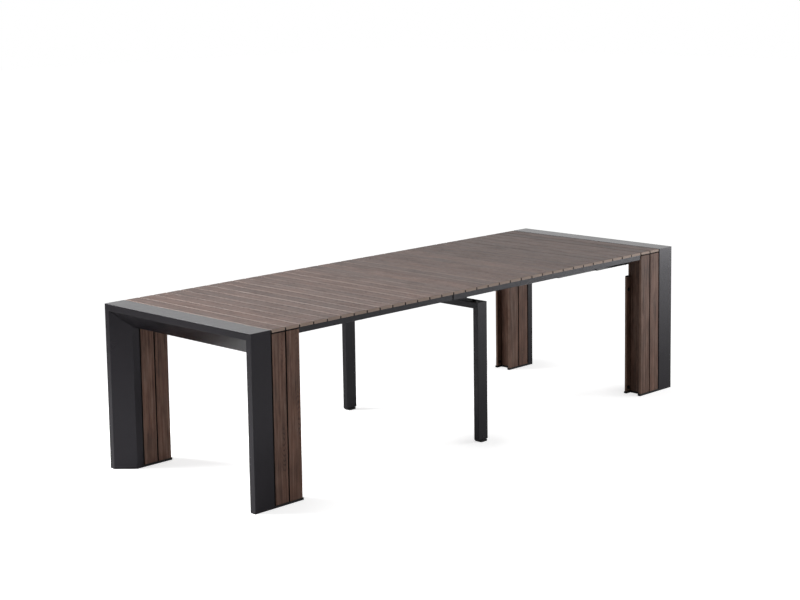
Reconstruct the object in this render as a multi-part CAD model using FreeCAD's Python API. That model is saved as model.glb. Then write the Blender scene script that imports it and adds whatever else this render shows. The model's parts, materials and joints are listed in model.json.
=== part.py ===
import FreeCAD, Part
import os

# Extending outdoor dining table, opened to its full length with every leaf in place.
# Millimetres. X runs along the table, Y across it, Z up. The origin is on the floor under the middle of the top.
# The near side is -Y and the left end is -X.

# Table
tableHeight = 760.0
tableWidth = 1006.0

# Cross slats of the top and upright slats of the legs
slatWidth = 72.5
slatThickness = 13.0
slatGap = 6.5
slatRound = 2.5
endSlatCount = 2
leafSlatCount = 6
leafCount = 5

# Mitred end frames: one profile for the bar and both posts, with a flat rim and a sloping inner face
frameDepth = 108.0
frameSection = 105.0
frameRim = 30.0
frameBevelDepth = 72.0
frameWall = 3.0
frameRound = 1.5
frameCapThickness = 3.0
barSlotClearance = 3.0

# Corner brackets inside the mitres
bracketLength = 80.0
bracketWidth = 50.0
bracketThickness = 4.0
bracketSetback = 25.0

# Legs behind the end frames, with a groove that takes the centre leg when the table is shut
coreWall = 2.5
grooveDepth = 30.0
legSlatTopGap = 5.0
notchDepth = 30.0
notchHeight = 622.0
footPlateThickness = 10.0
footPlateOverhang = 5.0
footPlateRecessInset = 3.0

# Leaf frames
leafFrameHeight = 26.0
leafTubeWall = 2.0
apronWidth = 22.0
apronInset = 4.0
apronRound = 1.0
leafSeam = 1.0
openSeam = 8.0
openSeamPlace = 2
endRailWidth = 20.0
bearerWidth = 20.0

# Bearers of the end slats stop short of the last slat's edge
bearerSetback = 4.0

# Telescopic slides: a stack of interlocked rails on each side of the table
stageCount = 7
slideLength = 430.0
slideWidth = 12.0
slideHeight = 39.0
slideGap = 0.6
slideLegClearance = 9.0
slideBarClearance = 10.44
ribNeckHeight = 6.0
ribHeadHeight = 12.0
ribHeadDepth = 2.4
slotLip = 1.5
slideFit = 0.3
glideLength = 20.0
glideFit = 0.1

# Pegs that seat each leaf on its rails
pegRadius = 4.0
pegDepth = 10.0
pegFit = 0.3
pegSpacing = 240.0
pegShoulderRadius = 5.5
pegShoulderHeight = 0.5
pegHoleExtra = 1.0

# Screws
railScrewRadius = 2.5
railScrewHeadRadius = 4.5
railScrewHeadHeight = 3.0
railScrewGrip = 14.0
railScrewSetback = 24.0
railScrewOffset = 2.5
supportScrewRadius = 2.5
supportScrewGrip = 9.0
supportScrewSpacing = 30.0
screwFit = 0.2

# Centre support
supportWidth = 65.0
supportThickness = 30.0
supportWall = 2.5
supportRound = 2.0
supportInset = 38.0
spacerHeight = 9.0
plugHeight = 25.0
footPadHeight = 8.0
footPadLength = 44.0
footPadWidth = 44.0
footPadRound = 5.0
footGap = 1.0
stemRadius = 5.0
stemLength = 30.0
stemFit = 0.05

# Levels
deckBottom = tableHeight - slatThickness
leafFrameBottom = deckBottom - leafFrameHeight
slideTop = leafFrameBottom - pegShoulderHeight
slideBottom = slideTop - slideHeight
slideMiddle = (slideTop + slideBottom) / 2
supportTop = slideBottom - spacerHeight
supportBottom = supportTop - supportThickness
supportLegBottom = footPadHeight + footGap

# Places along X
slatPitch = slatWidth + slatGap
leafLength = leafSlatCount * slatPitch - slatGap
leafPitch = leafLength + slatGap
endDepth = frameDepth + endSlatCount * slatPitch
openHalf = (leafCount * leafPitch + slatGap) / 2
endX = -openHalf - endDepth
innerX = -openHalf
coreX = endX + frameDepth
grooveFaceX = innerX - grooveDepth
coreEndX = grooveFaceX - slatThickness

# Rails stop short of the slope inside each bar, and the seam that is left when shut follows from their length
frameSlope = frameBevelDepth / (frameSection - frameRim)
slideEndX = endX + (tableHeight - slideBottom - frameRim) * frameSlope + slideBarClearance
shutSeam = slideLength + 2 * (slideEndX - innerX)
firstStageX = innerX + shutSeam / 2
stageTravel = (2 * openHalf - shutSeam) / (stageCount + 1)
middleStage = (stageCount + 1) // 2

# Places across Y, on the far side
sideY = tableWidth / 2
legInnerY = sideY - frameSection
coreOuterY = sideY - slatThickness
coreInnerY = legInnerY + slatThickness
slidePitch = slideWidth + slideGap
stackOuterY = legInnerY - slideLegClearance
supportOuterY = sideY - supportInset
supportInnerY = supportOuterY - supportThickness

# Slide profile
ribNeckDepth = slideGap + slotLip + slideFit
slotMouthHeight = ribNeckHeight + 2 * slideFit
slotHeadHeight = ribHeadHeight + 2 * slideFit
slotDepth = slotLip + ribHeadDepth + 2 * slideFit

origin = FreeCAD.Vector(0, 0, 0)
acrossX = FreeCAD.Vector(1, 0, 0)
acrossY = FreeCAD.Vector(0, 1, 0)


def box(x0, x1, y0, y1, z0, z1):
    return Part.makeBox(x1 - x0, y1 - y0, z1 - z0, FreeCAD.Vector(x0, y0, z0))


def cylinder(x, y, z0, z1, radius):
    return Part.makeCylinder(radius, z1 - z0, FreeCAD.Vector(x, y, z0))


def outline(points):
    return Part.makePolygon(points + points[:1])


def prismAlongX(points, x0, x1):
    wire = outline([FreeCAD.Vector(x0, y, z) for y, z in points])
    return Part.Face(wire).extrude(FreeCAD.Vector(x1 - x0, 0, 0))


def prismAlongY(points, y0, y1):
    wire = outline([FreeCAD.Vector(x, y0, z) for x, z in points])
    return Part.Face(wire).extrude(FreeCAD.Vector(0, y1 - y0, 0))


def prismAlongZ(points, z0, z1):
    wire = outline([FreeCAD.Vector(x, y, z0) for x, y in points])
    return Part.Face(wire).extrude(FreeCAD.Vector(0, 0, z1 - z0))


def roundedAlong(shape, axis, radius):
    # Rounds the edges of a prism that run along one axis
    edges = []
    for edge in shape.Edges:
        first, last = [getattr(vertex.Point, axis) for vertex in edge.Vertexes]
        if abs(first - last) > 1e-6:
            edges.append(edge)
    return shape.makeFillet(radius, edges)


def tubeAlongX(x0, x1, y0, y1, z0, z1, wall, radius=0):
    bore = box(x0, x1, y0 + wall, y1 - wall, z0 + wall, z1 - wall)
    bar = box(x0, x1, y0, y1, z0, z1)
    return (roundedAlong(bar, "x", radius) if radius else bar).cut(bore)


def tubeAlongY(x0, x1, y0, y1, z0, z1, wall, radius=0):
    bore = box(x0 + wall, x1 - wall, y0, y1, z0 + wall, z1 - wall)
    bar = box(x0, x1, y0, y1, z0, z1)
    return (roundedAlong(bar, "y", radius) if radius else bar).cut(bore)


def tubeAlongZ(x0, x1, y0, y1, z0, z1, wall, radius=0):
    bore = box(x0 + wall, x1 - wall, y0 + wall, y1 - wall, z0, z1)
    bar = box(x0, x1, y0, y1, z0, z1)
    return (roundedAlong(bar, "z", radius) if radius else bar).cut(bore)


def solid(shape):
    return shape.removeSplitter().Solids[0]


def toNear(shape):
    return shape.mirror(origin, acrossY)


def toRight(shape):
    return shape.mirror(origin, acrossX)


def bothSides(shape):
    return [shape, toNear(shape)]


def writeNode(name, solids):
    shape = solids[0] if len(solids) == 1 else Part.makeCompound(solids)
    shape.exportStep("parts/" + name + ".step")


def roundedFace(shape, axis, level):
    # Rounds the edges of the face of a slat that lies at one level along an axis
    edges = []
    for edge in shape.Edges:
        if all(abs(getattr(vertex.Point, axis) - level) < 1e-6 for vertex in edge.Vertexes):
            edges.append(edge)
    return shape.makeFillet(slatRound, edges)


def topSlats(firstX, count):
    slats = []
    for index in range(count):
        x = firstX + index * slatPitch
        plank = box(x, x + slatWidth, -sideY, sideY, deckBottom, tableHeight)
        slats.append(roundedFace(plank, "z", tableHeight))
    return slats


def frameProfile(inset):
    # Section of the end frame, shrunk by a wall: depth from the end face, then distance in from the outer face
    run = frameBevelDepth
    rise = frameSection - frameRim
    slope = (run ** 2 + rise ** 2) ** 0.5
    rimEnd = frameRim + inset * (rise - slope) / run
    bevelEnd = frameBevelDepth + inset * (slope - run) / rise
    return [
        (inset, inset),
        (frameDepth - inset, inset),
        (frameDepth - inset, frameSection - inset),
        (bevelEnd, frameSection - inset),
        (inset, rimEnd),
    ]


def framePost():
    # Far post of the left end, cut on the mitre under the bar
    def section(inset):
        return [(endX + a, sideY - b) for a, b in frameProfile(inset)]
    outside = roundedAlong(prismAlongZ(section(0), frameCapThickness, tableHeight), "z", frameRound)
    inside = prismAlongZ(section(frameWall), frameCapThickness, tableHeight)
    mitre = [
        (legInnerY, frameCapThickness),
        (sideY, frameCapThickness),
        (sideY, tableHeight),
        (legInnerY, tableHeight - frameSection),
    ]
    return solid(outside.cut(inside).common(prismAlongX(mitre, endX, coreX)))


def frameBar():
    # Bar of the left end, mitred at both ends, with a slot in its back that the slide rails run into
    def section(inset):
        return [(endX + a, tableHeight - b) for a, b in frameProfile(inset)]
    outside = roundedAlong(prismAlongY(section(0), -sideY, sideY), "y", frameRound)
    inside = prismAlongY(section(frameWall), -sideY, sideY)
    mitre = [
        (-sideY, tableHeight),
        (sideY, tableHeight),
        (legInnerY, tableHeight - frameSection),
        (-legInnerY, tableHeight - frameSection),
    ]
    bar = outside.cut(inside).common(prismAlongX(mitre, endX, coreX))
    slotY = stackOuterY + barSlotClearance
    slotBottom = slideBottom - railScrewHeadHeight - barSlotClearance
    slot = box(coreX - frameWall, coreX, -slotY, slotY, slotBottom, slideTop)
    return solid(bar.cut(slot))


def cornerBracket():
    # Angle in the far mitre of the left end, against the bar's top wall and the post's outer wall
    x0 = endX + bracketSetback
    topZ = tableHeight - frameWall
    outerY = sideY - frameWall
    angle = [
        (outerY, topZ),
        (outerY, topZ - bracketLength),
        (outerY - bracketThickness, topZ - bracketLength),
        (outerY - bracketThickness, topZ - bracketThickness),
        (outerY - bracketLength, topZ - bracketThickness),
        (outerY - bracketLength, topZ),
    ]
    return prismAlongX(angle, x0, x0 + bracketWidth)


def postCap():
    section = [(endX + a, sideY - b) for a, b in frameProfile(0)]
    return roundedAlong(prismAlongZ(section, 0, frameCapThickness), "z", frameRound)


def legSlats():
    # Far leg of the left end: slats on its outer and its inner face, the last inner one notched for the crossbar,
    # and one at the back of the groove
    topZ = deckBottom - legSlatTopGap
    slats = []
    for index in range(endSlatCount):
        x = coreX + slatGap + index * slatPitch
        outer = box(x, x + slatWidth, coreOuterY, sideY, footPlateThickness, topZ)
        inner = box(x, x + slatWidth, legInnerY, coreInnerY, footPlateThickness, topZ)
        inner = roundedFace(inner, "y", legInnerY)
        if index == endSlatCount - 1:
            notch = box(innerX - notchDepth, innerX, legInnerY, coreInnerY, notchHeight, topZ)
            inner = inner.cut(notch)
        slats.append(roundedFace(outer, "y", sideY))
        slats.append(solid(inner))
    grooveY0 = coreInnerY + slatGap / 2
    grooveY1 = coreOuterY - slatGap / 2
    back = box(coreEndX, grooveFaceX, grooveY0, grooveY1, footPlateThickness, topZ)
    slats.append(roundedFace(back, "x", grooveFaceX))
    return slats


def legCore():
    return tubeAlongZ(coreX, coreEndX, coreInnerY, coreOuterY, footPlateThickness, deckBottom, coreWall)


def footPlate():
    # Far foot of the left end, forked at its free end round the mouth of the groove
    endPlateX = innerX + footPlateOverhang
    plate = box(coreX, endPlateX, legInnerY, sideY, 0, footPlateThickness)
    recessInnerY = coreInnerY + footPlateRecessInset
    recessOuterY = coreOuterY - footPlateRecessInset
    recess = box(grooveFaceX, endPlateX, recessInnerY, recessOuterY, 0, footPlateThickness)
    return solid(plate.cut(recess))


def stageX(stage):
    return firstStageX + stage * stageTravel


def stageY(stage):
    # Rails step outwards from the left end's pair to the right end's pair
    return stackOuterY - slideWidth / 2 - (stageCount + 1 - stage) * slidePitch


def teeProfile(innerY, neckHeight, headHeight, headStart, headEnd):
    # Rib on the inner face of a rail: a narrow neck with a taller head
    return [
        (innerY, slideMiddle - neckHeight / 2),
        (innerY, slideMiddle + neckHeight / 2),
        (innerY - headStart, slideMiddle + neckHeight / 2),
        (innerY - headStart, slideMiddle + headHeight / 2),
        (innerY - headEnd, slideMiddle + headHeight / 2),
        (innerY - headEnd, slideMiddle - headHeight / 2),
        (innerY - headStart, slideMiddle - headHeight / 2),
        (innerY - headStart, slideMiddle - neckHeight / 2),
    ]


def slideRail(stage):
    # Far rail of a stage: a slot in its outer face for the next rail, a rib on its inner face for the one before
    x0 = stageX(stage) - slideLength / 2
    x1 = stageX(stage) + slideLength / 2
    innerY = stageY(stage) - slideWidth / 2
    outerY = stageY(stage) + slideWidth / 2
    rail = box(x0, x1, innerY, outerY, slideBottom, slideTop)
    if stage <= stageCount:
        mouth = box(
            x0, x1, outerY - slotLip, outerY,
            slideMiddle - slotMouthHeight / 2, slideMiddle + slotMouthHeight / 2,
        )
        head = box(
            x0, x1, outerY - slotDepth, outerY - slotLip,
            slideMiddle - slotHeadHeight / 2, slideMiddle + slotHeadHeight / 2,
        )
        rail = rail.cut(mouth).cut(head)
    if stage > 0:
        profile = teeProfile(innerY, ribNeckHeight, ribHeadHeight, ribNeckDepth, ribNeckDepth + ribHeadDepth)
        rail = rail.fuse(prismAlongX(profile, x0 + glideLength, x1 - glideLength))
    return solid(rail)


def slideGlides(stage):
    # Plastic shoes that carry on the far rail's rib at both ends and run closer in the slot than the rib does
    x0 = stageX(stage) - slideLength / 2
    x1 = stageX(stage) + slideLength / 2
    play = slideFit - glideFit
    profile = teeProfile(
        stageY(stage) - slideWidth / 2,
        ribNeckHeight + 2 * play,
        ribHeadHeight + 2 * play,
        ribNeckDepth - play,
        ribNeckDepth + ribHeadDepth + play,
    )
    return [
        prismAlongX(profile, x0, x0 + glideLength),
        prismAlongX(profile, x1 - glideLength, x1),
    ]


def leafX(leaf):
    return innerX + leafPitch / 2 + slatGap / 2 + leaf * leafPitch


def leafStage(leaf):
    return round((leafX(leaf) - firstStageX) / stageTravel)


def pegPlaces(leaf):
    # Two pegs about the middle of the stretch where the leaf lies over its own rails
    low = max(leafX(leaf) - leafLength / 2, stageX(leafStage(leaf)) - slideLength / 2)
    high = min(leafX(leaf) + leafLength / 2, stageX(leafStage(leaf)) + slideLength / 2)
    middle = (low + high) / 2
    return [middle - pegSpacing / 2, middle + pegSpacing / 2]


def pegHoles(stage):
    holes = []
    for leaf in range(leafCount):
        if leafStage(leaf) == stage:
            for x in pegPlaces(leaf):
                bottom = slideTop - pegDepth - pegHoleExtra
                holes.append(cylinder(x, stageY(stage), bottom, slideTop, pegRadius + pegFit))
    return holes


def supportScrewPlaces():
    return [-supportScrewSpacing / 2, supportScrewSpacing / 2]


def supportScrewHoles():
    # Clearance holes on the far side, up through the crossbar and spacer into the middle rail
    top = slideBottom + supportScrewGrip + screwFit
    y = stageY(middleStage)
    return [
        cylinder(x, y, supportBottom, top, supportScrewRadius + screwFit)
        for x in supportScrewPlaces()
    ]


def screw(x, y, seatZ, tipZ, radius):
    # Pan head below its seat, shank upwards
    head = cylinder(x, y, seatZ - railScrewHeadHeight, seatZ, railScrewHeadRadius)
    return solid(head.fuse(cylinder(x, y, seatZ, tipZ, radius)))


def railScrewPlaces():
    return [coreX + railScrewSetback, innerX - railScrewSetback]


def railScrewY(stage):
    # Kept to the inner half of a slotted rail, clear of its slot
    return stageY(stage) - (railScrewOffset if stage <= stageCount else 0)


def endBearers(stage):
    # Tubes under the end slats: one above each fixed rail, and one along the middle
    x1 = innerX - bearerSetback
    bearers = []
    for y in (stageY(stage), 0, -stageY(stage)):
        y0 = y - bearerWidth / 2
        y1 = y + bearerWidth / 2
        bearers.append(tubeAlongX(coreX, x1, y0, y1, slideTop, deckBottom, leafTubeWall))
    return bearers


def writeEnd(side, stage, place):
    # One end: everything that stands on its two legs. The shapes are the left end's, and place puts them there.
    post = framePost()
    writeNode(side + "_top_bar", [place(frameBar())])
    writeNode(side + "_far_post", [place(post)])
    writeNode(side + "_near_post", [place(toNear(post))])
    writeNode(side + "_corner_brackets", [place(shape) for shape in bothSides(cornerBracket())])
    writeNode(side + "_post_end_caps", [place(shape) for shape in bothSides(postCap())])
    writeNode(side + "_top_slats", [place(shape) for shape in topSlats(coreX + slatGap, endSlatCount)])
    writeNode(side + "_far_leg_slats", [place(shape) for shape in legSlats()])
    writeNode(side + "_near_leg_slats", [place(toNear(shape)) for shape in legSlats()])
    writeNode(side + "_leg_cores", [place(shape) for shape in bothSides(legCore())])
    writeNode(side + "_foot_plates", [place(shape) for shape in bothSides(footPlate())])

    screws = []
    holes = []
    for x in railScrewPlaces():
        y = railScrewY(stage)
        tip = slideTop + railScrewGrip
        screws += bothSides(screw(x, y, slideBottom, tip, railScrewRadius))
        holes += bothSides(cylinder(x, y, slideBottom, tip + screwFit, railScrewRadius + screwFit))
    drill = Part.makeCompound(holes)
    writeNode(side + "_rail_screws", [place(shape) for shape in screws])
    writeNode(side + "_bearers", [place(solid(shape.cut(drill))) for shape in endBearers(stage)])

    rail = slideRail(stage)
    rails = bothSides(rail)
    drillOnRails = Part.makeCompound([place(shape) for shape in holes])
    writeNode(side + "_slide_rails", [solid(shape.cut(drillOnRails)) for shape in rails])


def writeStage(stage):
    rail = slideRail(stage)
    for hole in pegHoles(stage):
        rail = rail.cut(hole)
    if stage == middleStage:
        for hole in supportScrewHoles():
            rail = rail.cut(hole)
    writeNode("slide_stage_%d" % stage, bothSides(solid(rail)))


def writeGlides(name, stage):
    shoes = []
    for shoe in slideGlides(stage):
        shoes += bothSides(shoe)
    writeNode(name, shoes)


def seamWidth(place):
    # Gap between the frames of two leaves, counted from the left end: one seam stands open, the others are close
    return openSeam if place == openSeamPlace else leafSeam


def leafFrame(leaf):
    # Aprons along the sides, rails across both ends, bearers over the slides and down the middle, and four pegs
    x0 = leafX(leaf) - leafPitch / 2 + seamWidth(leaf) / 2
    x1 = leafX(leaf) + leafPitch / 2 - seamWidth(leaf + 1) / 2
    apronY = sideY - apronInset
    innerY = apronY - apronWidth
    apron = tubeAlongX(x0, x1, innerY, apronY, leafFrameBottom, deckBottom, leafTubeWall, apronRound)
    pieces = bothSides(apron)
    for start in (x0, x1 - endRailWidth):
        end = start + endRailWidth
        pieces.append(tubeAlongY(start, end, -innerY, innerY, leafFrameBottom, deckBottom, leafTubeWall))
    railY = stageY(leafStage(leaf))
    for y in (railY, 0, -railY):
        y0 = y - bearerWidth / 2
        y1 = y + bearerWidth / 2
        pieces.append(
            tubeAlongX(x0 + endRailWidth, x1 - endRailWidth, y0, y1, leafFrameBottom, deckBottom, leafTubeWall)
        )
    for x in pegPlaces(leaf):
        shoulder = cylinder(x, railY, slideTop, leafFrameBottom, pegShoulderRadius)
        shank = cylinder(x, railY, slideTop - pegDepth, slideTop, pegRadius)
        pieces += bothSides(solid(shoulder.fuse(shank)))
    return pieces


def writeLeaf(leaf):
    name = "leaf_%d" % (leaf + 1)
    writeNode(name + "_slats", topSlats(leafX(leaf) - leafLength / 2, leafSlatCount))
    writeNode(name + "_frame", leafFrame(leaf))


def supportLeg():
    # Far leg of the centre support, mitred to the crossbar
    tube = tubeAlongZ(
        -supportWidth / 2, supportWidth / 2, supportInnerY, supportOuterY,
        supportLegBottom, supportTop, supportWall, supportRound,
    )
    mitre = [
        (supportInnerY, supportLegBottom),
        (supportOuterY, supportLegBottom),
        (supportOuterY, supportTop),
        (supportInnerY, supportBottom),
    ]
    return solid(tube.common(prismAlongX(mitre, -supportWidth / 2, supportWidth / 2)))


def supportCrossbar():
    tube = tubeAlongY(
        -supportWidth / 2, supportWidth / 2, -supportOuterY, supportOuterY,
        supportBottom, supportTop, supportWall, supportRound,
    )
    mitre = [
        (-supportOuterY, supportTop),
        (supportOuterY, supportTop),
        (supportInnerY, supportBottom),
        (-supportInnerY, supportBottom),
    ]
    bar = tube.common(prismAlongX(mitre, -supportWidth / 2, supportWidth / 2))
    for hole in supportScrewHoles():
        bar = bar.cut(hole).cut(toNear(hole))
    return solid(bar)


def supportSpacer():
    y = stageY(middleStage)
    block = box(
        -supportWidth / 2, supportWidth / 2, y - slideWidth / 2, y + slideWidth / 2,
        supportTop, slideBottom,
    )
    for hole in supportScrewHoles():
        block = block.cut(hole)
    return solid(block)


def legMiddleY():
    return (supportInnerY + supportOuterY) / 2


def legPlug():
    # Threaded plug in the foot of a centre leg
    halfX = supportWidth / 2 - supportWall
    plug = box(
        -halfX, halfX, supportInnerY + supportWall, supportOuterY - supportWall,
        supportLegBottom, supportLegBottom + plugHeight,
    )
    bore = cylinder(0, legMiddleY(), supportLegBottom, supportLegBottom + plugHeight, stemRadius + stemFit)
    return solid(plug.cut(bore))


def levellingFoot():
    # Pad with rounded corners on a threaded stem
    y = legMiddleY()
    pad = box(
        -footPadLength / 2, footPadLength / 2, y - footPadWidth / 2, y + footPadWidth / 2,
        0, footPadHeight,
    )
    uprights = [edge for edge in pad.Edges if abs(edge.Vertexes[0].Z - edge.Vertexes[1].Z) > 1e-6]
    pad = pad.makeFillet(footPadRound, uprights)
    stem = cylinder(0, y, footPadHeight, footPadHeight + stemLength, stemRadius)
    return solid(pad.fuse(stem))


def writeSupport():
    leg = supportLeg()
    foot = levellingFoot()
    y = stageY(middleStage)
    screws = []
    for x in supportScrewPlaces():
        screws += bothSides(screw(x, y, supportBottom, slideBottom + supportScrewGrip, supportScrewRadius))
    writeNode("support_crossbar", [supportCrossbar()])
    writeNode("support_far_leg", [leg])
    writeNode("support_near_leg", [toNear(leg)])
    writeNode("support_spacers", bothSides(supportSpacer()))
    writeNode("support_screws", screws)
    writeNode("support_leg_plugs", bothSides(legPlug()))
    writeNode("far_levelling_foot", [foot])
    writeNode("near_levelling_foot", [toNear(foot)])


os.makedirs("parts", exist_ok=True)
lastStage = stageCount + 1
writeEnd("left", 0, lambda shape: shape)
writeEnd("right", lastStage, toRight)
writeGlides("right_slide_glides", lastStage)
for stage in range(1, lastStage):
    writeStage(stage)
    writeGlides("stage_%d_glides" % stage, stage)
for leaf in range(leafCount):
    writeLeaf(leaf)
writeSupport()
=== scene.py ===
import json
import math
import bpy
import numpy as np
from mathutils import Matrix, Vector


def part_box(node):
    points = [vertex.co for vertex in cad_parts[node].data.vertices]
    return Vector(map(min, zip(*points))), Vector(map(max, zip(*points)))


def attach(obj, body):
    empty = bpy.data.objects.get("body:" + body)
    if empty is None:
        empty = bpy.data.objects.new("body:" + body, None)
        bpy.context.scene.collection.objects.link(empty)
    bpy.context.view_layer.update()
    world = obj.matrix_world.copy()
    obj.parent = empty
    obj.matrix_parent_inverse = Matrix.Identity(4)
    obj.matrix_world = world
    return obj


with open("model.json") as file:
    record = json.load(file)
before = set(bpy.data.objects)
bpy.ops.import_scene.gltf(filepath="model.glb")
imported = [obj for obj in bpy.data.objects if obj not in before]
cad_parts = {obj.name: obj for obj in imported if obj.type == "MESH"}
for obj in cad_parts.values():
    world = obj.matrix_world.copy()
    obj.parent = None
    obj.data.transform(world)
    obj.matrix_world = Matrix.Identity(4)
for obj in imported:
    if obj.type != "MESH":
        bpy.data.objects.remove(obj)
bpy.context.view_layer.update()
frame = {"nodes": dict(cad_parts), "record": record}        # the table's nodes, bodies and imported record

nodes = frame["nodes"]


def span(node, axis):
    low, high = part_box(node)
    return low[axis], high[axis]


def cornersOf(node):
    # every vertex of a node as rows of x, y, z
    mesh = nodes[node].data
    flat = np.empty(len(mesh.vertices) * 3)
    mesh.vertices.foreach_get("co", flat)
    return flat.reshape(-1, 3)


# the slats of the top and of the legs stand on one even pitch along x
table = {"leaves": 5, "leafSlats": 6, "endSlats": 2}
leafLength = span("leaf_1_slats", 0)[1] - span("leaf_1_slats", 0)[0]
endLength = span("left_top_slats", 0)[1] - span("left_top_slats", 0)[0]
slatPitch = (leafLength - endLength) / (table["leafSlats"] - table["endSlats"])
slatWidth = endLength - slatPitch
slatGap = slatPitch - slatWidth
slatStart = span("left_top_slats", 0)[0]
endX = span("right_top_bar", 0)[1]
sideY = span("left_top_slats", 1)[1]
topZ = span("left_top_slats", 2)[1]
deckZ = span("left_top_slats", 2)[0]
slatThickness = topZ - deckZ
legInnerY = span("left_far_leg_slats", 1)[0]
legTopZ = span("left_far_leg_slats", 2)[1]
grooveY = (legInnerY + slatThickness, sideY - slatThickness)
mouthX = span("right_near_leg_slats", 0)[0]      # mouth of the leg grooves
slideZ = span("slide_stage_1", 2)
supportY = span("support_far_leg", 1)[1]
supportZ = span("support_crossbar", 2)[1]


class Signal:
    # one output socket of a node tree; arithmetic on it adds Math nodes to that tree
    def __init__(self, finish, socket):
        self.finish = finish
        self.socket = socket

    def math(self, operation, *values):
        return self.finish.node("ShaderNodeMath", {"operation": operation}, dict(enumerate(values)))

    def __add__(self, other):
        return self.math("ADD", self, other)

    def __radd__(self, other):
        return self.math("ADD", other, self)

    def __sub__(self, other):
        return self.math("SUBTRACT", self, other)

    def __rsub__(self, other):
        return self.math("SUBTRACT", other, self)

    def __mul__(self, other):
        return self.math("MULTIPLY", self, other)

    def __rmul__(self, other):
        return self.math("MULTIPLY", other, self)

    def __truediv__(self, other):
        return self.math("DIVIDE", self, other)

    def __pow__(self, other):
        return self.math("POWER", self, other)

    def __abs__(self):
        return self.math("ABSOLUTE", self)

    def __gt__(self, other):
        return self.math("GREATER_THAN", self, other)

    def floor(self):
        return self.math("FLOOR", self)

    def sine(self):
        return self.math("SINE", self)

    def most(self, other):
        return self.math("MAXIMUM", self, other)

    def least(self, other):
        return self.math("MINIMUM", self, other)


class Finish:
    # the node tree of a material or a world
    def __init__(self, owner):
        owner.use_nodes = True
        self.owner = owner
        self.tree = owner.node_tree

    def node(self, kind, settings=None, sockets=None, output=0):
        made = self.tree.nodes.new(kind)
        for name, value in (settings or {}).items():
            if name == "stops":
                self.setStops(made.color_ramp, value)
            else:
                setattr(made, name, value)
        for name, value in (sockets or {}).items():
            self.feed(made.inputs[name], value)
        return Signal(self, made.outputs[output])

    def feed(self, socket, value):
        if isinstance(value, Signal):
            self.tree.links.new(value.socket, socket)
        else:
            socket.default_value = value

    def setStops(self, ramp, stops):
        while len(ramp.elements) < len(stops):
            ramp.elements.new(1.0)
        for element, (place, colour) in zip(ramp.elements, stops):
            element.position = place
            element.color = (*colour, 1.0)

    def shade(self, **sockets):
        # values and links for the Principled shader, by socket name with spaces left out
        shader = self.tree.nodes["Principled BSDF"]
        inputs = {socket.name.replace(" ", ""): socket for socket in shader.inputs}
        for name, value in sockets.items():
            self.feed(inputs[name], value)
        return self.owner


def newFinish(name):
    return Finish(bpy.data.materials.new(name))


def placeOf(finish):
    # object coordinates as three signals
    place = finish.node("ShaderNodeTexCoord", output="Object")
    return [finish.node("ShaderNodeSeparateXYZ", None, {0: place}, axis) for axis in range(3)]


def vectorOf(finish, x, y, z):
    return finish.node("ShaderNodeCombineXYZ", None, {0: x, 1: y, 2: z})


def noise(finish, x, y, z, detail=2.0, roughness=0.5):
    place = vectorOf(finish, x, y, z)
    sockets = {"Vector": place, "Scale": 1.0, "Detail": detail, "Roughness": roughness}
    return finish.node("ShaderNodeTexNoise", None, sockets)


def speckle(finish, place, scale, detail=2.0, roughness=0.5):
    # even noise, with so many cells to the metre in every direction
    x, y, z = place
    return noise(finish, x * scale, y * scale, z * scale, detail, roughness)


def drawn(finish, place, along, across, detail, roughness=0.5):
    # noise drawn out along x, as a die or a sliding shoe leaves it
    x, y, z = place
    return noise(finish, x * along, y * across, z * across, detail, roughness)


def chance(finish, seed, draw):
    # a steady random number from 0 to 1 for each whole seed
    settings = {"noise_dimensions": "1D"}
    return finish.node("ShaderNodeTexWhiteNoise", settings, {"W": seed * 3.0 + draw * 0.31})


def rise(finish, value, low, high):
    # smooth step from 0 at low to 1 at high, either way round
    settings = {"interpolation_type": "SMOOTHSTEP"}
    return finish.node("ShaderNodeMapRange", settings, {0: value, 1: low, 2: high, 3: 0.0, 4: 1.0})


def tint(finish, factor, first, second, blend="MIX"):
    settings = {"data_type": "RGBA", "blend_type": blend, "clamp_factor": True}
    sockets = {0: factor, 6: first, 7: second}
    return finish.node("ShaderNodeMix", settings, sockets, 2)


def rgb(red, green, blue):
    return (red, green, blue, 1.0)


def shades(colour, low, high):
    # one colour made darker and lighter, for the two ends of a blend
    return [rgb(*[part * share for part in colour]) for share in (low, high)]


def ramp(finish, value, stops):
    return finish.node("ShaderNodeValToRGB", {"stops": stops}, {0: value})


def relief(finish, height, strength, distance):
    sockets = {"Strength": strength, "Distance": distance, "Height": height}
    return finish.node("ShaderNodeBump", None, sockets)


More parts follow.
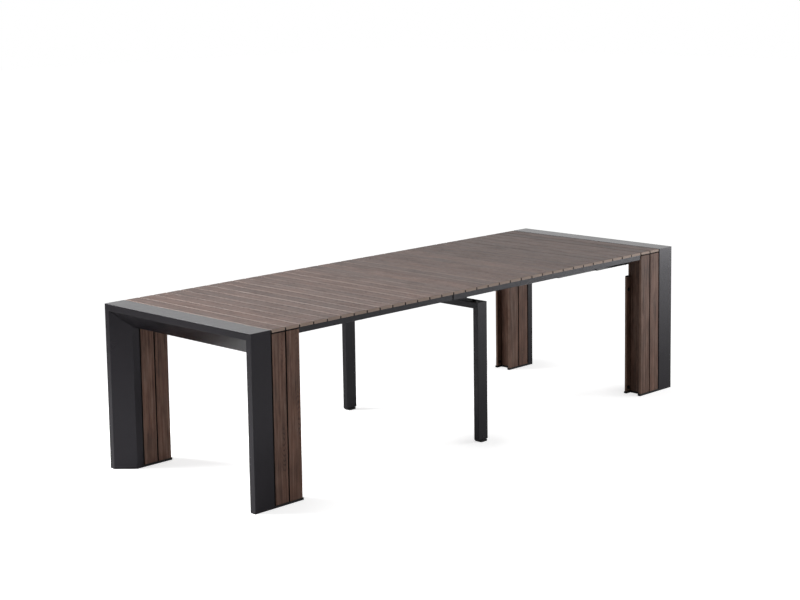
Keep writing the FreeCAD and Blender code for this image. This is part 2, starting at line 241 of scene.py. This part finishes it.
slatLook = {
    "dark": (0.026, 0.0145, 0.0108),
    "middle": (0.100, 0.0585, 0.0435),
    "light": (0.190, 0.128, 0.102),
    "cutEnd": (0.31, 0.225, 0.18),
    # painted shade for the gaps between slats and for the upper ends of the leg slats
    "seam": (0.010, 0.007, 0.006),
    "top": {
        "tints": ((1.02, 0.95, 0.96), (0.87, 0.95, 1.06)),      # warm and cool, each multiplied in
        # pale of worn rounded edges, partly a painted highlight
        "rubbed": (0.34, 0.275, 0.245),
        "streaks": 1.4,
        "tones": 0.20,        # spread in tone from slat to slat
        "specular": 0.30,
    },
    "leg": {
        "tints": ((1.13, 0.95, 0.87), (0.97, 0.95, 0.94)),
        # pale of worn rounded edges, partly a painted highlight
        "rubbed": (0.30, 0.195, 0.150),
        "streaks": 1.7,
        "tones": 0.10,
        "specular": 0.18,
    },
    "grain": {                # noise cells per metre across and along a slat, detail, roughness
        "streak": (105.0, 2.6, 5.0, 0.60),
        "cloud": (44.0, 8.0, 3.0, 0.58),
        "patch": (22.0, 7.0, 3.0, 0.60),
        "fibre": (520.0, 11.0, 3.0, 0.50),
        "pore": (620.0, 34.0, 1.0, 0.50),
    },
    "seedSteps": (50.0, 100.0, 200.0),      # far side, outer face, back of a groove
    "grooveInset": 0.001,
    "offset": 40.0,           # metres of grain that the slats are cut from
    "bends": (1.7, 0.016),    # sideways drift of the grain: per metre, and metres of it
    "heartSpread": 0.7,       # slat widths in which the heart of the rings lies
    "ringsAcross": 26.0,      # growth rings from the heart to one slat width away
    "ringsAlong": 45.0,       # arches in each metre of slat, at the steepest lean
    # width of the pale rounded edge: wear and a painted highlight
    "edgeWear": 0.0028,
    "squareSide": (0.0006, 0.0002),         # in from the edge, where the painted shade on the side starts and is full
    "mouthWear": (0.006, 0.003),            # in from the mouth of a groove, for the pale wear and painted highlight
    "upperShade": (0.0012, 0.0004),         # below the upper end of a leg slat
    "cutReach": (0.0018, 0.0004),           # in from a sawn end
    "rounding": 0.0026,
    "reliefDepth": 0.0005,
}


def slatPlace(x, y, upright):
    # place across each slat, from its middle line, and a whole number of its own for every slat
    fromStart = x - (slatStart - slatGap / 2)
    index = (fromStart / slatPitch).floor()
    across = fromStart - index * slatPitch - slatPitch / 2
    if not upright:
        return across, index
    # slats at the back of the grooves lie across y, the others across x
    inset = slatLook["grooveInset"]
    inGroove = (abs(y) > grooveY[0] + inset) - (abs(y) > grooveY[1] - inset)
    across = across + inGroove * (abs(y) - sum(grooveY) / 2 - across)
    farSide, outerFace, grooveBack = slatLook["seedSteps"]
    seed = index + (y > 0.0) * farSide + (abs(y) > (legInnerY + sideY) / 2) * outerFace
    return across, seed + inGroove * grooveBack


def slatFinish(name, upright):
    # wood grain that runs along each slat, with its own figure, tone and offset on every slat
    look = slatLook
    kind = look["leg"] if upright else look["top"]
    finish = newFinish(name)
    x, y, z = placeOf(finish)
    along = z if upright else y
    across, seed = slatPlace(x, y, upright)
    tone = chance(finish, seed, 1)
    shift = chance(finish, seed, 2)
    heart = (chance(finish, seed, 3) - 0.5) * slatWidth * look["heartSpread"]
    lean = chance(finish, seed, 4) - 0.5

    flow = along + shift * look["offset"]
    bends, bendDepth = look["bends"]
    drift = noise(finish, flow * bends, seed * 5.1, 0.0) - 0.5
    wavy = across + drift * bendDepth

    def grain(layer, cut):
        acrossScale, alongScale, detail, roughness = look["grain"][layer]
        return noise(finish, wavy * acrossScale, flow * alongScale, cut, detail, roughness)

    # arches: contours of a parabola across the slat that climbs along it
    fromHeart = (wavy - heart) / slatWidth
    ring = fromHeart ** 2.0 * look["ringsAcross"] + flow * lean * 2.0 * look["ringsAlong"]
    ring = ring + noise(finish, wavy * 40.0, flow * 6.0, seed) * 1.6
    ring = ring + noise(finish, wavy * 90.0, flow * 21.0, seed) * 1.5
    lines = ((ring * math.tau).sine() * 0.5 + 0.5) ** 3.0
    figure = lines * rise(finish, noise(finish, across * 14.0, flow * 4.0, seed * 2.0), 0.48, 0.70)
    streak = grain("streak", seed)
    cloud = grain("cloud", seed + 9.0)
    patch = grain("patch", seed + 4.0)
    fibre = grain("fibre", seed)
    pores = rise(finish, grain("pore", seed), 0.60, 0.72)

    value = 0.54 + (streak - 0.5) * kind["streaks"] + (cloud - 0.5) * 0.95 + (fibre - 0.5) * 0.40
    value = value + (tone - 0.5) * kind["tones"] - figure * 0.30 - pores * 0.12
    stops = [(0.0, look["dark"]), (0.5, look["middle"]), (1.0, look["light"])]
    colour = ramp(finish, value, stops)
    warm, cool = kind["tints"]
    turn = 0.5 + (chance(finish, seed, 5) - 0.5) * 0.6 + (patch - 0.5) * 2.2
    blush = tint(finish, turn, rgb(*warm), rgb(*cool))
    colour = tint(finish, 1.0, colour, blush, "MULTIPLY")

    # rounded edges rub pale, partly worn and partly a painted highlight, and painted shade darkens the
    # square sides in the gaps
    rubbed = rgb(*kind["rubbed"])
    sideShadeStart, sideShadeFull = [slatWidth / 2 - inset for inset in look["squareSide"]]
    wearAndHighlightMask = rise(finish, abs(across), slatWidth / 2 - look["edgeWear"], sideShadeStart)
    wearAndHighlightMask = wearAndHighlightMask * (0.45 + noise(finish, flow * 30.0, seed, 2.0) * 0.4)
    side = rise(finish, abs(across), sideShadeStart, sideShadeFull)
    if upright:
        # the pale wear and painted highlight are strong only at the edges at the mouth of the groove,
        # whose sides get no painted shade, and the top's shade is painted on the upper ends
        mouth = rise(finish, abs(x), *[mouthX + reach for reach in look["mouthWear"]])
        colour = tint(finish, wearAndHighlightMask * (0.10 + mouth * 0.60), colour, rubbed)
        upper = rise(finish, z, *[legTopZ - reach for reach in look["upperShade"]])
        side = (side * (1.0 - mouth)).most(upper)
    else:
        # the sawn ends are pale all over
        # pale wear and painted highlight on the rounded edges
        colour = tint(finish, wearAndHighlightMask * (0.36 + chance(finish, seed, 6) * 0.5), colour, rubbed)
        endGrain = noise(finish, x * 900.0, z * 900.0, y)
        pale = tint(finish, endGrain, *shades(look["cutEnd"], 0.72, 1.0))
        cut = rise(finish, abs(y), *[sideY - reach for reach in look["cutReach"]])
        colour = tint(finish, cut, colour, pale)
        # the painted shade on the sides starts only below the rounding
        lower = topZ - look["rounding"]
        side = side * rise(finish, z, lower, lower - look["squareSide"][0])
    # painted shade on the square sides, and on the upper ends of leg slats
    colour = tint(finish, side, colour, rgb(*look["seam"]))
    rough = 0.50 + (streak - 0.5) * 0.20 + figure * 0.10 + pores * 0.12
    height = fibre * 0.5 - figure * 0.5 - pores * 0.9 + streak * 0.4
    return finish.shade(
        BaseColor=colour, Roughness=rough, SpecularIORLevel=kind["specular"],
        Normal=relief(finish, height, 0.35, look["reliefDepth"]),
    )


coatLook = {
    "frame": (0.0072, 0.0058, 0.0078),
    "leaf": (0.0130, 0.0126, 0.0146),
    "support": (0.0070, 0.0066, 0.0076),
    # darkened as painted shade, so that the gaps between the leg slats read black
    "core": (0.010, 0.007, 0.006),
    # pale of specks and of worn edges, the edges partly a painted highlight
    "edge": (0.045, 0.045, 0.047),
    "joint": (0.004, 0.004, 0.004),
    "sheen": (0.94, 0.92, 1.0),
    "mitreLine": 0.0005,
    "edgeWidth": 0.0022,
    "peel": 950.0,            # this and the next three in noise cells per metre
    "speck": 3200.0,
    "cloud": 7.0,
    "smear": 26.0,
    "reliefDepth": 0.0003,
}


def nearTo(finish, value, level, width):
    # 1 where a coordinate is within a width of a level, fading to 0
    return rise(finish, abs(value - level), width, width * 0.35)


def powderCoat(name, colour, edges=None, mitre=None):
    # baked powder: fine orange peel, faint clouds in tone and sheen, pale edges where the coat is thin,
    # which is partly a painted highlight
    look = coatLook
    finish = newFinish(name)
    place = placeOf(finish)
    peel = speckle(finish, place, look["peel"])
    speck = speckle(finish, place, look["speck"], 1.0)
    cloud = speckle(finish, place, look["cloud"], 3.0)
    smear = speckle(finish, place, look["smear"], 4.0, 0.6)
    base = tint(finish, cloud, *shades(colour, 0.84, 1.18))
    base = tint(finish, rise(finish, speck, 0.62, 0.78) * 0.15, base, rgb(*look["edge"]))
    if edges:
        # pale edges: thin coat and a painted highlight
        wearAndHighlightMask = edges(finish, *place) * (0.25 + smear * 0.55)
        base = tint(finish, wearAndHighlightMask, base, rgb(*look["edge"]))
    height = peel * 0.7 + speck * 0.3
    if mitre:
        joint = mitre(finish, *place)
        base = tint(finish, joint * 0.85, base, rgb(*look["joint"]))
        height = height - joint * 3.0
    rough = 0.25 + (smear - 0.5) * 0.06 + (cloud - 0.5) * 0.05
    return finish.shade(
        BaseColor=base, Roughness=rough, SpecularIORLevel=0.28, SpecularTint=rgb(*look["sheen"]),
        Normal=relief(finish, height, 0.07, look["reliefDepth"]),
    )


def frameEdges(finish, x, y, z):
    # outer arrises of the end frames, where two outer faces meet, painted pale as thin coat and a painted
    # highlight
    width = coatLook["edgeWidth"]
    end = nearTo(finish, abs(x), endX, width)
    side = nearTo(finish, abs(y), sideY, width)
    top = nearTo(finish, z, topZ, width)
    return (end * side).most(end * top).most(side * top)


def mitreAt(side, top):
    # hairline where two members meet: as far below their top as in from their side
    def hairline(finish, x, y, z):
        offset = (side - abs(y)) - (top - z)
        return nearTo(finish, offset, 0.0, coatLook["mitreLine"])
    return hairline


slideLook = {
    "black": (0.012, 0.012, 0.013),
    "rub": (0.16, 0.16, 0.165),
    "rubHeight": 0.010,
    "dieLines": (2.0, 1400.0),      # noise cells per metre along and across
    "drag": (5.0, 700.0),
    "cloud": 9.0,
    "reliefDepth": 0.0002,
}


def anodised(name):
    # black anodised extrusion: die lines along x, pale rubbed bands beside the running slots
    look = slideLook
    finish = newFinish(name)
    place = placeOf(finish)
    die = drawn(finish, place, *look["dieLines"], 3.0)
    drag = drawn(finish, place, *look["drag"], 4.0, 0.65)
    cloud = speckle(finish, place, look["cloud"])
    middle = sum(slideZ) / 2
    band = rise(finish, abs(place[2] - middle), look["rubHeight"], look["rubHeight"] * 0.5)
    rub = band * rise(finish, drag, 0.50, 0.70) * rise(finish, cloud, 0.35, 0.65)
    base = tint(finish, die, *shades(look["black"], 0.7, 1.5))
    base = tint(finish, rub * 0.5, base, rgb(*look["rub"]))
    rough = 0.34 + (die - 0.5) * 0.18 + rub * 0.12
    return finish.shade(
        BaseColor=base, Roughness=rough, Metallic=rub * 0.6, SpecularIORLevel=0.5,
        Normal=relief(finish, die, 0.12, look["reliefDepth"]),
    )


plasticLook = {
    "black": (0.0045, 0.0045, 0.0047),
    "scuff": (0.045, 0.044, 0.042),
    "scuffHeight": 0.006,
    "spark": 1300.0,                # noise cells per metre
    "scrape": (60.0, 240.0),        # the same, level and upright
    "reliefDepth": 0.0003,
}


def mouldedBlack(name):
    # black moulded feet: spark-eroded texture, scuffed grey where they meet the ground
    look = plasticLook
    finish = newFinish(name)
    x, y, z = placeOf(finish)
    level, upright = look["scrape"]
    spark = speckle(finish, (x, y, z), look["spark"])
    scrape = noise(finish, x * level, y * level, z * upright, 5.0, 0.7)
    low = rise(finish, z, look["scuffHeight"], 0.0)
    scuff = low * rise(finish, scrape, 0.52, 0.72)
    base = tint(finish, spark, *shades(look["black"], 0.7, 1.4))
    base = tint(finish, scuff * 0.7, base, rgb(*look["scuff"]))
    rough = 0.50 + (scrape - 0.5) * 0.2 + scuff * 0.2
    return finish.shade(
        BaseColor=base, Roughness=rough, SpecularIORLevel=0.22,
        Normal=relief(finish, spark + scuff, 0.22, look["reliefDepth"]),
    )


glideLook = {
    "clean": (0.62, 0.60, 0.54),
    "film": (0.34, 0.33, 0.31),
    "drag": (30.0, 600.0),          # noise cells per metre along and across
    "grain": 900.0,
    "reliefDepth": 0.0002,
}


def acetal(name):
    # off-white glide shoes with a grey drag film
    look = glideLook
    finish = newFinish(name)
    place = placeOf(finish)
    film = drawn(finish, place, *look["drag"], 4.0, 0.6)
    grain = speckle(finish, place, look["grain"])
    base = tint(finish, rise(finish, film, 0.45, 0.75), rgb(*look["clean"]), rgb(*look["film"]))
    rough = 0.36 + film * 0.25
    return finish.shade(
        BaseColor=base, Roughness=rough, Normal=relief(finish, grain, 0.1, look["reliefDepth"])
    )


steelLook = {
    "clear": (0.36, 0.36, 0.37),
    "dulled": (0.56, 0.56, 0.57),
    "lathe": (1500.0, 4000.0),      # noise cells per metre, level and upright
    "haze": 180.0,
    "reliefDepth": 0.0002,
}


def screwSteel(name):
    # stainless with a fine turned grain and a little dulling
    look = steelLook
    finish = newFinish(name)
    x, y, z = placeOf(finish)
    level, upright = look["lathe"]
    lathe = noise(finish, x * level, y * level, z * upright, 3.0)
    haze = speckle(finish, (x, y, z), look["haze"], 4.0)
    base = tint(finish, haze, rgb(*look["clear"]), rgb(*look["dulled"]))
    rough = 0.26 + (haze - 0.5) * 0.22 + (lathe - 0.5) * 0.1
    return finish.shade(
        BaseColor=base, Roughness=rough, Metallic=1.0,
        Normal=relief(finish, lathe, 0.1, look["reliefDepth"]),
    )


finishes = {
    "end_frame_metal": powderCoat("frameCoat", coatLook["frame"], frameEdges, mitreAt(sideY, topZ)),
    "leaf_frame_metal": powderCoat("leafCoat", coatLook["leaf"]),
    "support_metal": powderCoat("supportCoat", coatLook["support"], None, mitreAt(supportY, supportZ)),
    "core_brown": powderCoat("coreGapShadeCoat", coatLook["core"]),
    "slide_aluminium": anodised("slideBlack"),
    "foot_plastic": mouldedBlack("footBlack"),
    "glide_plastic": acetal("glideWhite"),
    "screw_steel": screwSteel("screwSteel"),
    "slat_wood": slatFinish("topSlatWood", False),
}
legSlatWood = slatFinish("legSlatWood", True)

for entry in frame["record"]["subparts"]:
    name = entry["node"]
    finish = legSlatWood if name.endswith("leg_slats") else finishes[entry["material_slot"]]
    for place in nodes[name].material_slots:
        place.material = finish
print("finishes on the nodes:", len(finishes) + 1)


def quadsOf(rows, columns):
    # quads between neighbouring rows of a grid whose columns close into a ring
    row, column = np.meshgrid(np.arange(rows - 1), np.arange(columns), indexing="ij")
    following = (column + 1) % columns
    below, above = row * columns, (row + 1) * columns
    quads = [below + column, below + following, above + following, above + column]
    return np.stack(quads, -1).reshape(-1, 4)


def makePiece(name, grids, body, slotName):
    # one mesh from grids of points, rows by ring columns, each closed by a flat cap at both ends
    points, faces, first = [], [], 0
    for grid in grids:
        rows, columns = grid.shape[:2]
        points.append(grid.reshape(-1, 3))
        faces += (quadsOf(rows, columns) + first).tolist()
        ring = first + np.arange(columns)
        faces.append(ring[::-1].tolist())
        faces.append((ring + (rows - 1) * columns).tolist())
        first += rows * columns
    mesh = bpy.data.meshes.new(name)
    mesh.from_pydata(np.concatenate(points).tolist(), [], faces)
    mesh.update()
    piece = bpy.data.objects.new(name, mesh)
    bpy.context.scene.collection.objects.link(piece)
    mesh.materials.append(finishes[slotName])
    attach(piece, body)


def ringAxes(facing):
    # two directions across a facing direction, right-handed with it
    facing = np.array(facing, float)
    first = np.array([0.0, 0.0, 1.0]) if abs(facing[2]) < 0.5 else np.array([1.0, 0.0, 0.0])
    return first, np.cross(facing, first), facing


def turned(centre, facing, radius, height):
    # radius and height over rows by angle columns, set out from a centre along a facing direction
    first, second, out = ringAxes(facing)
    angle = np.arange(radius.shape[1]) * math.tau / radius.shape[1]
    circle = np.cos(angle)[:, None] * first + np.sin(angle)[:, None] * second
    return np.array(centre) + radius[..., None] * circle + height[..., None] * out


screwLook = {"radius": 0.0042, "height": 0.0020, "socket": 0.0021, "columns": 12}


def screwHead(centre):
    # low dome, facing down, whose last two rows drop into a six-sided socket: there the radius
    # over the angle is the half width / cos of the angle to the middle of the nearest flat
    look = screwLook
    rows = np.array([(1.0, 0.0), (1.0, 0.35), (0.86, 0.78), (0.62, 1.0)])
    angle = np.arange(look["columns"]) * math.tau / look["columns"]
    flat = np.cos((angle + math.pi / 6) % (math.pi / 3) - math.pi / 6)
    dome = np.repeat(rows[:, :1] * look["radius"], look["columns"], 1)
    socket = np.stack([look["socket"] / flat, look["socket"] / flat])
    radius = np.concatenate([dome, socket])
    level = np.concatenate([rows[:, 1], [1.0, 0.3]]) * look["height"]
    return turned(centre, (0, 0, -1), radius, np.repeat(level[:, None], look["columns"], 1))


def roundedRing(corner, columns):
    # superellipse, |u|^n + |v|^n = 1, as u and v over the angle
    angle = np.arange(columns) * math.tau / columns
    u, v = np.cos(angle), np.sin(angle)
    return np.sign(u) * abs(u) ** (2.0 / corner), np.sign(v) * abs(v) ** (2.0 / corner)


apronLook = {
    "width": 0.022,
    "wall": 0.002,
    "plugDepth": 0.008,
    "plugRim": 0.0012,
    "plugCrown": 0.0002,
    "plugSet": 0.0003,        # how far the face stays behind the tube's end
    "corner": 4.0,
    "columns": 24,
}
apronY = span("leaf_1_frame", 1)[1] - apronLook["width"] / 2
leafCorners = cornersOf("leaf_1_frame")
apronZ = leafCorners[leafCorners[:, 1] > apronY][:, 2].min()


def slatMiddles(low, high):
    # middles along x of the slats between two ends of a row
    count = round((high - low + slatGap) / slatPitch)
    return low + slatWidth / 2 + np.arange(count) * slatPitch


for leaf in range(1, table["leaves"] + 1):
    heads = []
    for x in slatMiddles(*span("leaf_%d_slats" % leaf, 0)):
        for y in (-apronY, 0.0, apronY):
            heads.append(screwHead((x, y, apronZ)))
    makePiece("leaf_%d_slat_screws" % leaf, heads, "leaf_%d" % leaf, "screw_steel")
for side in ("left", "right"):
    bearerZ = span(side + "_bearers", 2)[0]
    heads = [screwHead((x, 0.0, bearerZ)) for x in slatMiddles(*span(side + "_top_slats", 0))]
    makePiece(side + "_slat_screws", heads, side + "_end", "screw_steel")
print("slat screws set")


def tubePlug(x, y, z, out):
    # rounded ring carried from inside the tube to a slightly crowned face
    look = apronLook
    ringU, ringV = roundedRing(look["corner"], look["columns"])
    halfY = look["width"] / 2 - look["wall"]
    halfZ = (deckZ - apronZ) / 2 - look["wall"]
    share = np.array([0.985, 0.985, 0.94, 0.55])
    depth = np.array([-look["plugDepth"], -look["plugRim"], 0.0, look["plugCrown"]]) - look["plugSet"]
    grid = np.empty((len(share), look["columns"], 3))
    grid[..., 0] = x + out * depth[:, None]
    grid[..., 1] = y + share[:, None] * ringU * halfY
    grid[..., 2] = z + share[:, None] * ringV * halfZ * out
    return grid


for leaf in range(1, table["leaves"] + 1):
    low, high = span("leaf_%d_frame" % leaf, 0)
    plugs = [tubePlug(x, y, (deckZ + apronZ) / 2, out)
             for x, out in ((low, -1), (high, 1)) for y in (-apronY, apronY)]
    makePiece("leaf_%d_apron_plugs" % leaf, plugs, "leaf_%d" % leaf, "foot_plastic")
print("apron plugs set")


bufferLook = {
    "radius": 0.0105,
    "height": 0.0030,
    "columns": 28,
    "levels": (0.030, 0.554),
    "inFromMouth": 0.016,
}


def groovePad(centre, facing):
    # low rubber dome: a short wall, then a quarter ellipse over to a flat crown
    look = bufferLook
    sweep = np.linspace(0.0, math.pi / 2, 6)[:-1]
    radius = np.concatenate([[1.0], 0.62 + 0.38 * np.cos(sweep), [0.55]]) * look["radius"]
    level = np.concatenate([[0.0], 0.45 + 0.55 * np.sin(sweep), [1.0]]) * look["height"]
    columns = np.ones((1, look["columns"]))
    return turned(centre, facing, radius[:, None] * columns, level[:, None] * columns)


for side, sign in (("left", -1), ("right", 1)):
    pads = []
    x = sign * (mouthX + bufferLook["inFromMouth"])
    for level in bufferLook["levels"]:
        for row in (-1, 1):
            pads.append(groovePad((x, row * grooveY[0], level), (0, row, 0)))
            pads.append(groovePad((x, row * grooveY[1], level), (0, -row, 0)))
    makePiece(side + "_groove_buffers", pads, side + "_end", "foot_plastic")
print("groove buffers set")


padLook = {
    "height": 0.0045,
    "inset": 0.0006,
    "corner": 7.0,
    "columns": 28,
    "clearOfEnds": (0.1, 0.01),     # the notch is farther than this from floor and upper ends
}
legCorners = cornersOf("right_near_leg_slats")
legZ = legCorners[:, 2]
aboveFloor, belowTop = padLook["clearOfEnds"]
notchCorners = legCorners[(legZ > aboveFloor) & (legZ < legTopZ - belowTop)]
notchZ = notchCorners[:, 2].max()
notchX = (mouthX, notchCorners[:, 0].max())


def notchPad(sign, row):
    # rounded ring over the slat's thickness, carried up and stepped in over its upper edge
    look = padLook
    ringU, ringV = roundedRing(look["corner"], look["columns"])
    half = ((notchX[1] - notchX[0]) / 2 - look["inset"], slatThickness / 2 - look["inset"])
    share = np.array([1.0, 1.0, 0.95, 0.80])[:, None]
    level = np.array([0.0, 0.72, 0.94, 1.0])[:, None]
    grid = np.empty((len(share), look["columns"], 3))
    grid[..., 0] = sign * sum(notchX) / 2 + share * ringU * half[0]
    grid[..., 1] = row * (legInnerY + slatThickness / 2) + share * ringV * half[1]
    grid[..., 2] = notchZ + level * look["height"]
    return grid


for side, sign in (("left", -1), ("right", 1)):
    pads = [notchPad(sign, row) for row in (-1, 1)]
    makePiece(side + "_notch_pads", pads, side + "_end", "foot_plastic")
print("notch pads set")


plugLook = {"radius": 0.0045, "height": 0.0012, "columns": 20, "level": 0.022}


def holePlug(centre, facing):
    # shallow button: radius near the square root of 1 - level^4, ending in a small flat crown
    look = plugLook
    level = np.array([0.0, 0.45, 0.75, 0.92, 1.0])
    radius = np.array([1.0, 0.97, 0.82, 0.55, 0.25]) * look["radius"]
    columns = np.ones((1, look["columns"]))
    return turned(centre, facing, radius[:, None] * columns, level[:, None] * look["height"] * columns)


legFaces = span("support_far_leg", 1)
plugs = []
for row in (-1, 1):
    plugs.append(holePlug((0.0, row * legFaces[0], plugLook["level"]), (0, -row, 0)))
    plugs.append(holePlug((0.0, row * legFaces[1], plugLook["level"]), (0, row, 0)))
makePiece("support_hole_plugs", plugs, "stage_4", "foot_plastic")
print("hole plugs set")


studio = {
    "floorSize": 60.0,
    "floorDrop": 0.0003,         # keeps the floor clear of the soles
    "floorColour": (0.72, 0.72, 0.72),
    "floorSeen": (0.70, 0.79),   # added white for the camera, by the legs and away from them
    "farLeftReach": 0.64,        # how far the shadow shows from the middle of a leg
    "endReach": 0.30,
    "centreReach": 0.17,
    "reachBlend": (-0.3, 0.3),   # y between which the left legs' reach changes
    "floorFade": (0.35, 1.0),    # shares of the reach between which the painted light washes out the shadow
    "floorMirrored": 0.24,       # added white in reflections
    "ambient": 0.35,
    "roomMirrored": 0.45,        # reflections of the room in front, where the backdrop behind gives 1
    "backdropSide": (0.711, 0.703),      # x and y of the way to the backdrop
    "backdropFade": (-0.45, 0.35),
}


def raysOf(finish):
    # 1 for rays from the camera, and 1 for rays that metal or glass sends on
    kinds = ("Is Camera Ray", "Is Glossy Ray", "Is Transmission Ray")
    camera, glossy, clear = [finish.node("ShaderNodeLightPath", output=kind) for kind in kinds]
    return camera, glossy.most(clear)


def makeFloor():
    half = studio["floorSize"] / 2
    corners = [(-half, -half, 0), (half, -half, 0), (half, half, 0), (-half, half, 0)]
    mesh = bpy.data.meshes.new("studioFloor")
    mesh.from_pydata(corners, [], [(0, 1, 2, 3)])
    floor = bpy.data.objects.new("studioFloor", mesh)
    floor.location.z = -studio["floorDrop"]
    bpy.context.scene.collection.objects.link(floor)
    finish = newFinish("paleFloor")
    camera, mirrored = raysOf(finish)
    x, y = placeOf(finish)[:2]
    # distance from the nearest leg, in shares of its reach: away from the legs the added white rises, a
    # painted light that washes out the table's shadow
    endLegX, endLegY = (mouthX + endX) / 2, (legInnerY + sideY) / 2
    endLeg = (abs(x) - endLegX) ** 2.0 + (abs(y) - endLegY) ** 2.0
    centreLeg = x ** 2.0 + (abs(y) - sum(legFaces) / 2) ** 2.0
    farLeft = rise(finish, y, *studio["reachBlend"]) * (1.0 - (x > 0.0))
    endReach = studio["endReach"] + farLeft * (studio["farLeftReach"] - studio["endReach"])
    away = (endLeg ** 0.5 / endReach).least(centreLeg ** 0.5 / studio["centreReach"])
    close, far = studio["floorSeen"]
    seen = close + rise(finish, away, *studio["floorFade"]) * (far - close)
    glow = (camera * seen).most(mirrored * studio["floorMirrored"])
    finish.shade(BaseColor=rgb(*studio["floorColour"]), Roughness=0.9, SpecularIORLevel=0.0)
    finish.shade(EmissionColor=glow, EmissionStrength=1.0)
    mesh.materials.append(finish.owner)


def makeWorld():
    # white to the camera and, from the backdrop's side, to reflections; softer as a light,
    # and in reflections of the room in front
    world = bpy.data.worlds.new("studioWhite")
    bpy.context.scene.world = world
    finish = Finish(world)
    camera, mirrored = raysOf(finish)
    facing = finish.node("ShaderNodeTexCoord", output="Generated")
    x, y = [finish.node("ShaderNodeSeparateXYZ", None, {0: facing}, axis) for axis in range(2)]
    toBackdrop = x * studio["backdropSide"][0] + y * studio["backdropSide"][1]
    room = studio["roomMirrored"]
    bright = room + rise(finish, toBackdrop, *studio["backdropFade"]) * (1.0 - room)
    strength = camera.most(mirrored * bright).most(studio["ambient"])
    background = finish.tree.nodes["Background"]
    finish.feed(background.inputs["Color"], rgb(1.0, 1.0, 1.0))
    finish.feed(background.inputs["Strength"], strength)


lamps = {
    "behind": {
        "place": (-4.1, 3.8, 4.6),
        "aim": (-2.3, 0.1, 0.6),
        "size": (3.2, 2.2),
        "spread": 56.0,          # degrees
        "power": 94.0,
    },
    "rightFront": {
        "place": (4.0, -2.9, 1.0),
        "aim": (0.9, -0.4, 0.4),
        "size": (2.4, 1.6),
        "spread": 180.0,
        "power": 95.0,
    },
}


def makeLamp(name, look):
    data = bpy.data.lights.new(name, "AREA")
    data.shape = "RECTANGLE"
    data.size, data.size_y = look["size"]
    data.energy = look["power"]
    data.spread = math.radians(look["spread"])
    lamp = bpy.data.objects.new(name, data)
    lamp.location = look["place"]
    lamp.visible_camera = False
    aim = Vector(look["aim"]) - lamp.location
    lamp.rotation_euler = aim.to_track_quat("-Z", "Y").to_euler()
    bpy.context.scene.collection.objects.link(lamp)


viewer = {
    "place": (-5.860, -5.729, 2.211),
    "azimuth": 45.307,       # degrees from +y towards +x
    "down": 7.600,
    "roll": -0.825,
    "focal": 1704.2,         # pixels of the 800 by 600 picture
    "axisRow": 200.0,        # the row of pixels that the lens points at
    "picture": (800, 600),
    "sensor": 36.0,
}


def makeCamera():
    data = bpy.data.cameras.new("viewer")
    camera = bpy.data.objects.new("viewer", data)
    wide, tall = viewer["picture"]
    data.sensor_width = viewer["sensor"]
    data.lens = data.sensor_width * viewer["focal"] / wide
    data.shift_y = (viewer["axisRow"] - tall / 2) / wide
    azimuth, down, roll = [math.radians(viewer[key]) for key in ("azimuth", "down", "roll")]
    level = math.cos(down)
    forward = Vector((math.sin(azimuth) * level, math.cos(azimuth) * level, -math.sin(down)))
    right = forward.cross(Vector((0, 0, 1))).normalized()
    up = right.cross(forward)
    rolledRight = right * math.cos(roll) + up * math.sin(roll)
    rolledUp = up * math.cos(roll) - right * math.sin(roll)
    turn = Matrix((rolledRight, rolledUp, -forward)).transposed()
    camera.matrix_world = Matrix.Translation(viewer["place"]) @ turn.to_4x4()
    bpy.context.scene.collection.objects.link(camera)
    bpy.context.scene.camera = camera


makeFloor()
makeWorld()
for name, look in lamps.items():
    makeLamp(name, look)
makeCamera()
bpy.context.scene.view_settings.view_transform = "Standard"
print("studio ready")
